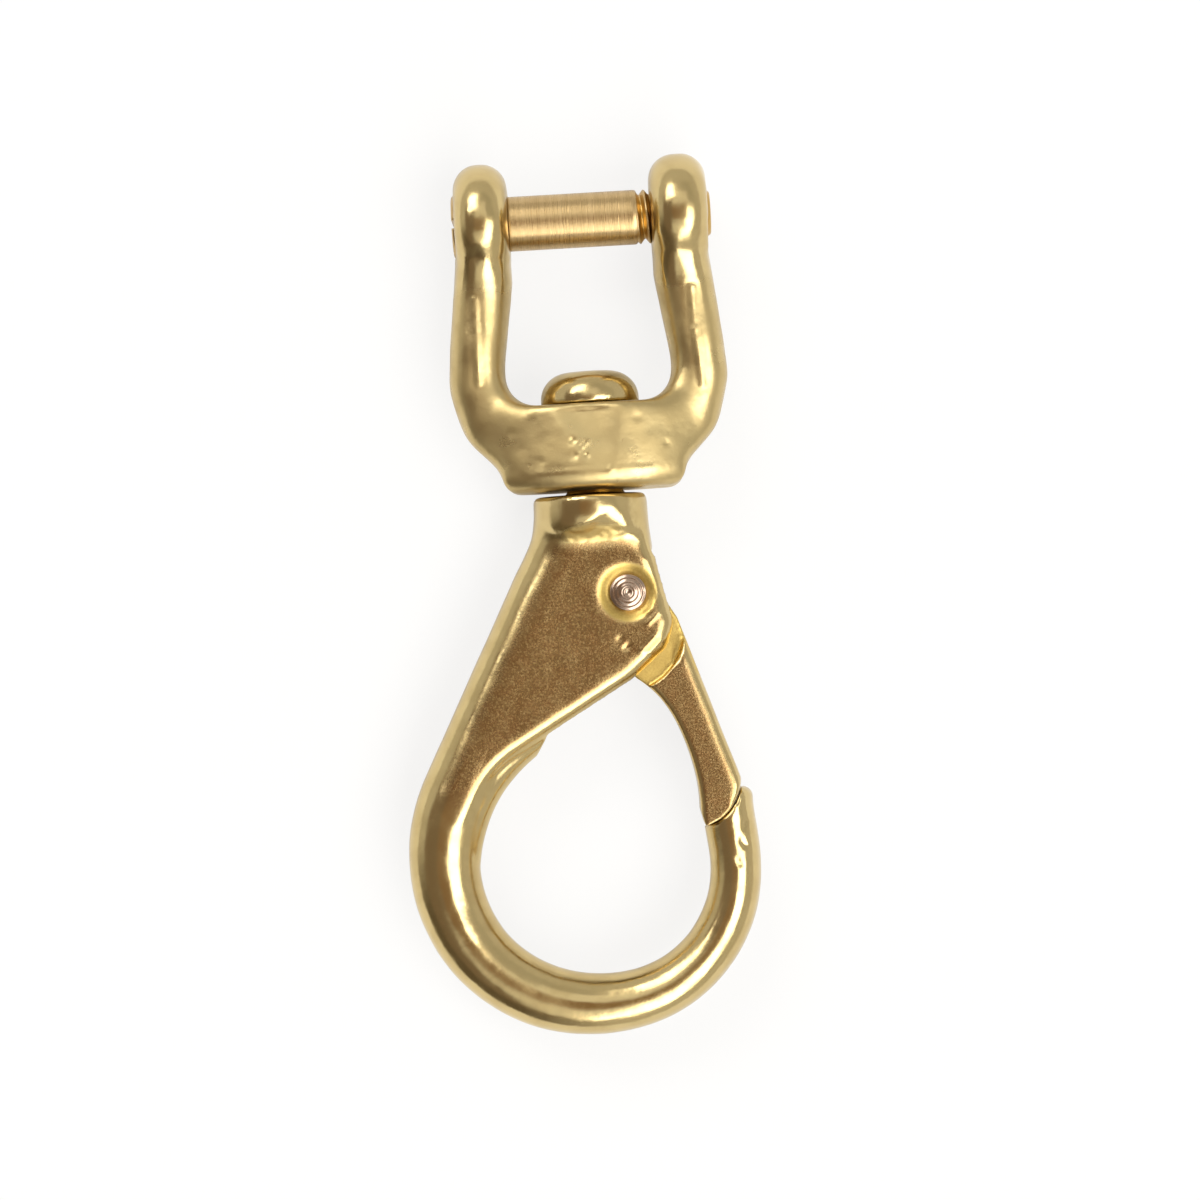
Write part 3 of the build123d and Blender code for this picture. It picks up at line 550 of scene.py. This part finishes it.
# A rough parting seam down each arm, a scoop and pits in the boss, a dimple in each ear.
raised = 0.07 * lumps(p, 7.0, 3) + 0.035 * lumps(p, 3.0, 4)
seams = [((-15.75, -11.0), (-15.8, -23.0))]
seams += [((15.5, -11.0), (15.6, -17.0)), ((15.6, -17.0), (16.3, -25.0))]
for start, end in seams:
    away = segment_distance(p[:, :2], start, end)
    seam = ridge(away, 0.4) - 0.5 * ridge(away - 0.8, 0.4)
    raised += 0.13 * seam * (0.75 + 0.6 * lumps(p, 1.8, 8)) * smooth_step(3.0, 3.8, depth(p))
reach = np.clip((-28.0 - p[:, 1]) / 8.0, 0, 1)
scoop = smooth_step(5.4 - 3.2 * reach, 1.0 - 0.8 * reach, np.abs(p[:, 0] + 0.6 - 1.8 * reach))
scoop *= within(p[:, 1], -37.5, -35.0, -28.0, -26.5) * smooth_step(7.0, 7.8, depth(p))
raised -= 0.55 * scoop * (1 - 0.9 * reach)
# As (x, y, size, depth); a negative depth stands up.
dents = [
    (-2.8, -32.2, 0.5, 0.22),
    (-1.7, -33.2, 0.42, 0.20),
    (-2.6, -34.3, 0.5, 0.16),
    (-1.0, -32.6, 0.35, 0.15),
    (-0.9, -34.4, 0.35, 0.14),
    (2.4, -36.6, 0.5, -0.12),
    (-7.4, -35.0, 0.5, 0.06),
    (6.6, -29.3, 0.6, 0.08),
    (10.6, -33.2, 0.5, 0.06),
    (-11.4, -30.6, 0.6, 0.06),
    (-15.2, -5.2, 1.2, 0.25),
    (15.0, -6.0, 1.2, 0.12),
]
for x, y, size, sunk in dents:
    away = np.hypot(p[:, 0] - x, p[:, 1] - y)
    raised -= sunk * ridge(away, size) * smooth_step(3.0, 4.0, p[:, 2])
p = p + n * raised[:, None]
# The dressed yoke stays inside its CAD node's box.
low_corner, high_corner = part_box("shackle")
p[:, 1] = np.minimum(p[:, 1], high_corner[1] / MM - BOX_MARGIN)
p[:, 2] = np.clip(p[:, 2], low_corner[2] / MM + BOX_MARGIN, high_corner[2] / MM - BOX_MARGIN)
put_places(yoke.data, p)
p, _ = mesh_arrays(yoke.data)
side = np.abs(p[:, 0])
boss = smooth_step(-25.0, -28.5, p[:, 1]) * smooth_step(15.0, 11.0, side)
arms = smooth_step(-7.5, -11.5, p[:, 1]) * (0.7 + 0.25 * lumps(p, 4.0, 9))
add_attribute(yoke.data, "flat", 0.08 * np.ones(len(p)))
add_attribute(yoke.data, "hollow", np.zeros(len(p)))
add_attribute(yoke.data, "matte", np.maximum(0.7 * boss + arms * (1 - boss), 0.1))
finish_piece(yoke, "shackle", "shackle", brass)

# ------------------------------------------------------------------------- gate
gate = cast_copy("gate", "gate_casting", GATE_VOXEL, 5)
p, n = mesh_arrays(gate.data)
down = (p[:, :2] - PIVOT) @ GATE_DOWN
out = (p[:, :2] - PIVOT) @ GATE_OUT
outer_edge = smooth_step(2.2, 3.4, out) * smooth_step(7.0, 10.0, down) * smooth_step(2.4, 3.2, depth(p))
p = relax(gate.data, p, outer_edge, 30)
p = p + n * (0.03 * lumps(p, 5.0, 5))[:, None]
put_places(gate.data, p)
p, n = mesh_arrays(gate.data)
down = (p[:, :2] - PIVOT) @ GATE_DOWN
# The front mask marks faces that look straight up; the material paints them with a dark reflection of the
# overhead, over sandy grain.
front = smooth_step(0.93, 0.99, np.abs(n[:, 2])) * smooth_step(4.0, 4.3, depth(p))
# The cove takes the hollows' yellow, partly painted bounce light.
cove = smooth_step(4.1, 3.4, depth(p)) * smooth_step(15.5, 14.0, down)
add_attribute(gate.data, "flat", front)
add_attribute(gate.data, "hollow", cove)
add_attribute(gate.data, "matte", 0.1 + 0.08 * front)
finish_piece(gate, "gate", "gate", brass)

# ------------------------------------------------------------------------- shackle pin
THREAD_PITCH, RINGS_PER_PITCH = 1.411, 14
PIN_RADIUS, CREST_RADIUS, ROOT_RADIUS = 3.9, 3.68, 3.2
HEAD_FACE, SLOT_WIDTH = -18.42, 1.2
TURNS = 96
head = [(HEAD_FACE, 0.0), (HEAD_FACE, 4.05), (-18.36, 4.3), (-18.2, 4.5)]
head += [(-18.0, 4.57), (-17.0, 4.58), (-16.2, 4.58)]
shank = [(-16.16, 4.5), (-16.14, 3.95), (-11.1, 3.95), (-11.0, 3.9), (-10.95, 3.72)]
shank += [(-10.35, 3.72), (-10.28, 3.9), (-10.2, 3.94), (7.9, 3.94), (8.1, 3.9)]
rings = corner_steps(head, 0.6) + corner_steps(shank, 0.35)
turn = np.arange(TURNS) / TURNS
for x in np.arange(8.14, 18.2, THREAD_PITCH / RINGS_PER_PITCH):
    phase = ((x - 7.95) / THREAD_PITCH - turn) % 1.0
    tooth = np.clip(0.5 + 2.6 * (np.abs(phase - 0.5) - 0.25), 0, 1)
    grown = smooth_step(8.1, 8.45, x)
    crest = PIN_RADIUS if x < 10.3 else CREST_RADIUS
    cut_in = PIN_RADIUS - crest + (crest - ROOT_RADIUS) * (1 - tooth)
    rings.append((x, PIN_RADIUS - grown * cut_in))
rings += [(18.3, 3.45), (18.8, 3.1), (18.92, 2.9), (18.93, 0.0)]
pin = new_piece("pin_turned", surface_of_revolution(rings, TURNS, "X"))
cutter_mesh = bmesh.new()
bmesh.ops.create_cube(cutter_mesh, size=1.0)
bmesh.ops.scale(cutter_mesh, vec=Vector((2.0, SLOT_WIDTH, 12.0)) * MM, verts=cutter_mesh.verts)
bmesh.ops.translate(cutter_mesh, vec=Vector((HEAD_FACE, 0, 0)) * MM, verts=cutter_mesh.verts)
cutter = new_piece("cutter", cutter_mesh)
cut = pin.modifiers.new("slot", "BOOLEAN")
cut.operation = "DIFFERENCE"
cut.object = cutter
cut.solver = "EXACT"
apply_modifiers(pin)
bpy.data.objects.remove(cutter)
p, _ = mesh_arrays(pin.data)
radius = np.hypot(p[:, 1], p[:, 2])
add_attribute(pin.data, "thread", smooth_step(8.0, 8.6, p[:, 0]) * smooth_step(3.95, 3.6, radius))
finish_piece(pin, "shackle_pin", "pin", turned)

# ------------------------------------------------------------------------- rivet
rivet_half = [(0.0, 1.98), (3.8, 1.98), (3.85, 2.5), (4.5, 2.62), (4.72, 2.6), (4.9, 2.48)]
rivet_half += [(5.01, 2.28), (5.03, 2.12), (4.97, 2.02), (4.99, 1.9), (5.06, 1.75), (5.09, 1.5)]
rivet_half += [(5.05, 1.38), (5.08, 1.25), (5.12, 1.0)]
rivet_half += [(5.10, 0.85), (5.06, 0.78), (5.11, 0.66), (5.12, 0.52), (5.02, 0.42)]
rivet_half += [(4.93, 0.25), (4.9, 0.0)]
rivet_profile = [(-z, r) for z, r in reversed(rivet_half[1:])] + rivet_half
rivet = new_piece("rivet_turned", surface_of_revolution(corner_steps(rivet_profile, 0.12), 72, "Z"))
p, _ = mesh_arrays(rivet.data)
end = smooth_step(4.6, 4.9, depth(p))
dome = 0.3 * (np.hypot(p[:, 0], p[:, 1]) / 2.6) ** 2
p[:, 2] += 0.05 * lumps(p, 1.3, 6) * end - np.sign(p[:, 2]) * end * dome
p[:, :2] += PIVOT
put_places(rivet.data, p)
finish_piece(rivet, "gate_rivet", "hook", bronze)

# ------------------------------------------------------------------------- spring
COIL_RADIUS, WIRE_RADIUS, WIRE_SIDES = 2.75, 0.45, 16
LEG_START, LEG_STEPS, COIL_STEPS = 0.5, 8, 120
FIXED_LEG, MOVING_LEG = 9.0, 9.5
FIXED_ROOT = math.radians(143.6)
coil_turn = FIXED_ROOT - GATE_LEAN + 4 * math.pi
climb = 1.0 / (2 * math.pi)
middle_line = []
for s in np.linspace(FIXED_LEG, LEG_START, LEG_STEPS):
    middle_line.append((FIXED_ROOT, -s))
for turned_by in np.linspace(0, coil_turn, COIL_STEPS):
    middle_line.append((FIXED_ROOT - turned_by, 0.0))
for s in np.linspace(LEG_START, MOVING_LEG, LEG_STEPS):
    middle_line.append((GATE_LEAN, s))
made = bmesh.new()
rings = []
for angle, leg in middle_line:
    outward = Vector((math.cos(angle), math.sin(angle), 0))
    onward = Vector((math.sin(angle), -math.cos(angle), climb / COIL_RADIUS))
    hub = Vector((*PIVOT, (FIXED_ROOT - angle - coil_turn / 2) * climb))
    centre = hub + outward * COIL_RADIUS + onward * leg
    over = outward.cross(onward.normalized())
    ring = []
    for side_turn in np.arange(WIRE_SIDES) * 2 * math.pi / WIRE_SIDES:
        spoke = math.cos(side_turn) * outward + math.sin(side_turn) * over
        ring.append(made.verts.new((centre + WIRE_RADIUS * spoke) * MM))
    rings.append(ring)
for low, high in zip(rings, rings[1:]):
    for i in range(WIRE_SIDES):
        j = (i + 1) % WIRE_SIDES
        made.faces.new((low[i], low[j], high[j], high[i]))
made.faces.new(rings[0])
made.faces.new(rings[-1])
bmesh.ops.recalc_face_normals(made, faces=made.faces)
spring = new_piece("spring_wound", made)
spring.data.materials.append(steel)
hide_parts("gate_spring")
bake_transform(spring)

# ------------------------------------------------------------------ camera, floor, lights
TILT = math.radians(3.3)
LENS, SENSOR, COVER = 100.0, 36.0, 173.8
distance = COVER * LENS / SENSOR
camera = bpy.data.objects.new("camera", bpy.data.cameras.new("camera"))
scene.collection.objects.link(camera)
camera.data.lens = LENS
camera.data.sensor_width = SENSOR
camera.data.clip_end = 10.0
right = Vector((math.cos(TILT), -math.sin(TILT), 0))
up = Vector((math.sin(TILT), math.cos(TILT), 0))
look = Matrix((right, up, (0, 0, 1))).transposed().to_4x4()
camera.matrix_world = Matrix.Translation(Vector((-0.20, -55.06, distance)) * MM) @ look
scene.camera = camera

floor_mesh = bpy.data.meshes.new("floor")
half, low = 3.0, cad_box[0][2] - 0.1 * MM
floor_mesh.from_pydata(
    [(-half, -half, low), (half, -half, low), (half, half, low), (-half, half, low)], [], [(0, 1, 2, 3)]
)
floor = bpy.data.objects.new("floor", floor_mesh)
scene.collection.objects.link(floor)
ground = bpy.data.materials.new("floor")
ground.use_nodes = True
ground.node_tree.nodes.clear()
nodes = Nodes(ground.node_tree)
paper = nodes.add("ShaderNodeBsdfDiffuse", {"Color": (0.80, 0.80, 0.79, 1)})
glow = nodes.add("ShaderNodeEmission", {"Color": (1, 1, 1, 1), "Strength": 1.0})
rays = nodes.add("ShaderNodeLightPath").outputs
lift = nodes.math("MULTIPLY", rays["Is Camera Ray"], 0.8)
lift = nodes.math("ADD", lift, nodes.math("MULTIPLY", rays["Is Glossy Ray"], 0.25))
blend = nodes.add("ShaderNodeMixShader", {0: lift, 1: paper.outputs[0], 2: glow.outputs[0]})
nodes.add("ShaderNodeOutputMaterial", {"Surface": blend.outputs[0]})
floor_mesh.materials.append(ground)

world = bpy.data.worlds.new("studio")
scene.world = world
world.use_nodes = True
world.node_tree.nodes.clear()
nodes = Nodes(world.node_tree)
direction = nodes.add("ShaderNodeTexCoord").outputs["Generated"]
split = nodes.add("ShaderNodeSeparateXYZ", {0: direction})
height = split.outputs[2]
level = nodes.math("MAXIMUM", height, 0.05)
across = nodes.math("DIVIDE", split.outputs[0], level)
along = nodes.math("DIVIDE", split.outputs[1], level)
flat_way = nodes.add("ShaderNodeCombineXYZ", {0: split.outputs[0], 1: split.outputs[1]}).outputs[0]
flat_way = nodes.add("ShaderNodeVectorMath", {0: flat_way}, operation="NORMALIZE").outputs[0]


def facing(azimuth):
    """1 where the sky lies towards an azimuth, -1 on the far side."""
    a = math.radians(azimuth)
    towards = (math.cos(a), math.sin(a), 0)
    found = nodes.add("ShaderNodeVectorMath", {0: flat_way, 1: towards}, operation="DOT_PRODUCT")
    return found.outputs["Value"]


def soft_box(across, low_x, high_x, low_y, high_y, edge):
    """Share of a rectangular light overhead, given by its tangents from straight above."""
    share = nodes.ramp(across, low_x - edge, low_x + edge)
    share = nodes.math("MULTIPLY", share, nodes.ramp(across, high_x + edge, high_x - edge))
    share = nodes.math("MULTIPLY", share, nodes.ramp(along, low_y - edge, low_y + edge))
    share = nodes.math("MULTIPLY", share, nodes.ramp(along, high_y + edge, high_y - edge))
    return nodes.math("MULTIPLY", share, nodes.ramp(height, 0.2, 0.3))


upper = nodes.mix(nodes.ramp(facing(35), -0.55, 0.75), (0.25, 0.195, 0.15, 1), (0.56, 0.54, 0.49, 1))
lower = nodes.mix(nodes.ramp(facing(224), 0.62, 0.94), (0.68, 0.66, 0.61, 1), (0.15, 0.12, 0.085, 1))
colour = nodes.mix(nodes.ramp(height, 0.55, 0.38), upper, lower)
colour = nodes.mix(nodes.ramp(height, 0.90, 0.975), colour, (0.30, 0.195, 0.115, 1))
colour = nodes.mix(soft_box(across, -0.50, 0.30, -1.25, -0.32, 0.14), colour, (0.85, 0.83, 0.78, 1))
colour = nodes.mix(soft_box(across, -0.30, 0.40, 0.20, 0.80, 0.09), colour, (0.95, 0.93, 0.88, 1))
slanted = nodes.math("SUBTRACT", across, nodes.math("MULTIPLY", along, 0.24))
bright_box = (4.8, 4.75, 4.6, 1)
colour = nodes.mix(soft_box(slanted, 0.24, 1.1, -1.7, 0.10, 0.05), colour, bright_box)
colour = nodes.mix(soft_box(across, -1.1, -0.16, 0.52, 1.6, 0.05), colour, bright_box)
seen = nodes.add("ShaderNodeLightPath").outputs["Is Camera Ray"]
colour = nodes.mix(seen, colour, (0.94, 0.94, 0.94, 1))
back = nodes.add("ShaderNodeBackground", {"Color": colour, "Strength": 1.0})
nodes.add("ShaderNodeOutputWorld", {"Surface": back.outputs[0]})

scene.view_settings.view_transform = "Standard"
